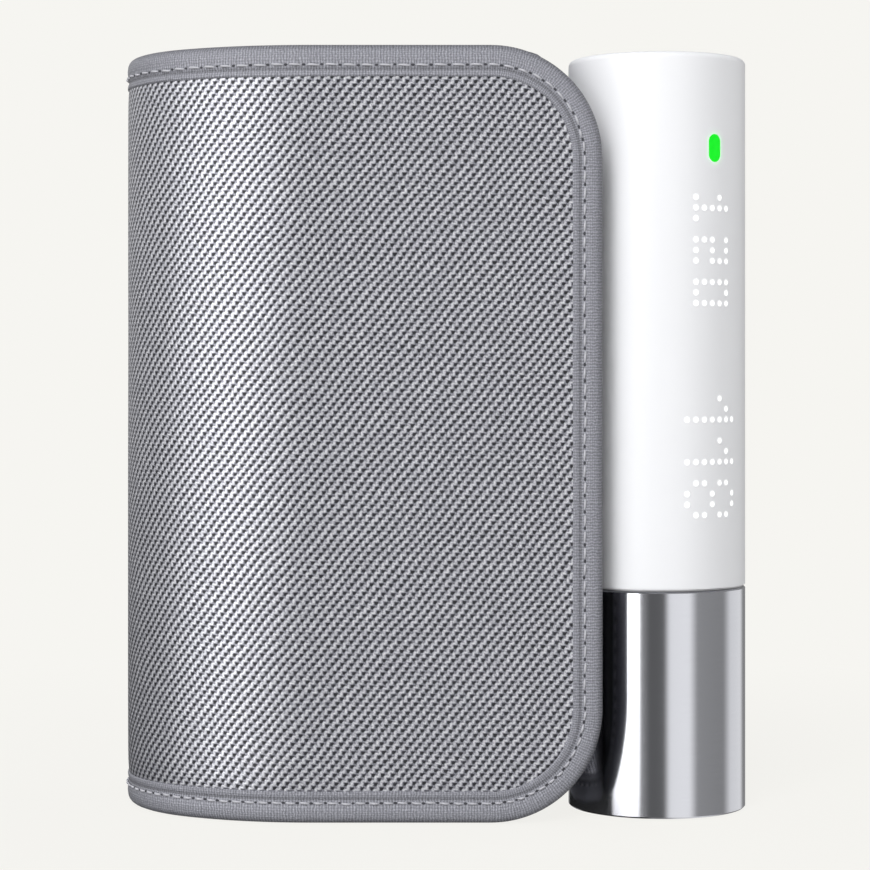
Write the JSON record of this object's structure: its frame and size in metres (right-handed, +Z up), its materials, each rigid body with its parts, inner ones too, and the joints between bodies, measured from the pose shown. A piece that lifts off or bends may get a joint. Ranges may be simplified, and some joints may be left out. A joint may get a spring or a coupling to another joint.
{
  "type": "arm-in blood pressure monitor",
  "caption": "Rolled grey upper-arm cuff with a bound, fold-out flap and a white and steel tube that holds the pump, display and start button.",
  "frame": {"origin": "middle of the bounding box's base, on the surface that the object stands on", "axes": "+Z up along the tube, +X towards the tube, -Y towards the front of the flap"},
  "size_m": [0.1248, 0.061, 0.15],
  "materials": {
    "woven_fabric": "heathered twill weave",
    "binding_tape": "ribbed grosgrain tape",
    "lining_fabric": "dark knitted lining",
    "foam": "thin laminating foam",
    "hook_tape": "black hook tape",
    "loop_tape": "grey loop tape",
    "bladder_film": "matt film",
    "backplate_metal": "satin",
    "saddle_plastic": "fine moulded grain",
    "screw_steel": "plain",
    "seal_rubber": "matt",
    "white_plastic": "satin white",
    "button_plastic": "satin pale grey",
    "sleeve_steel": "brushed along the tube",
    "base_plastic": "fine moulded grain",
    "board": "green solder resist",
    "chip_plastic": "moulded",
    "plain_metal": "stamped",
    "chassis_plastic": "moulded",
    "cell_wrap": "shrink film",
    "motor_steel": "plated",
    "clear_plastic": "milky",
    "silicone": "milky",
    "led_package": "white package",
    "status_green": "lit green light pipe"
  },
  "bodies": {
    "monitor": {"band_fabric": "woven_fabric", "band_foam": "foam", "band_lining": "lining_fabric", "top_binding": "binding_tape", "bottom_binding": "binding_tape", "end_binding": "binding_tape", "loop_patch": "loop_tape", "air_bladder": "bladder_film", "saddle_backplate": "backplate_metal", "cuff_saddle": "saddle_plastic", "saddle_screws": "screw_steel", "air_nipple": "saddle_plastic", "nipple_seal": "seal_rubber", "upper_housing": "white_plastic", "steel_sleeve": "sleeve_steel", "seam_ring": "seal_rubber", "top_cap": "white_plastic", "button_board": "board", "button_switch": "chip_plastic", "chassis": "chassis_plastic", "battery": "cell_wrap", "main_board": "board", "shield_can": "plain_metal", "pressure_sensor": "chip_plastic", "air_manifold": "clear_plastic", "air_hoses": "silicone", "release_valve": "plain_metal", "pump_head": "chassis_plastic", "pump_motor": "motor_steel", "pump_dampers": "seal_rubber", "display_board": "board", "display_leds": "led_package", "display_diffuser": "clear_plastic", "status_light": "status_green", "socket_board": "board", "charge_socket": "plain_metal", "base_cap": "base_plastic", "base_screws": "screw_steel"},
    "flap": {"flap_fabric": "woven_fabric", "flap_foam": "foam", "flap_lining": "lining_fabric", "flap_binding": "binding_tape", "hook_patch": "hook_tape"},
    "button": {"start_button": "button_plastic"}
  },
  "joints": [
    {"name": "flap_fold", "type": "hinge", "parent": "monitor", "child": "flap", "pos_m": [-0.0624, 0, 0.075], "axis": [0, 0, -1], "range_deg": [0, 110]},
    {"name": "button_press", "type": "slide", "parent": "monitor", "child": "button", "axis": [0, 0, -1], "range_m": [0, 0.0008], "stiffness_N_per_m": 600, "springref_m": -0.002}
  ]
}
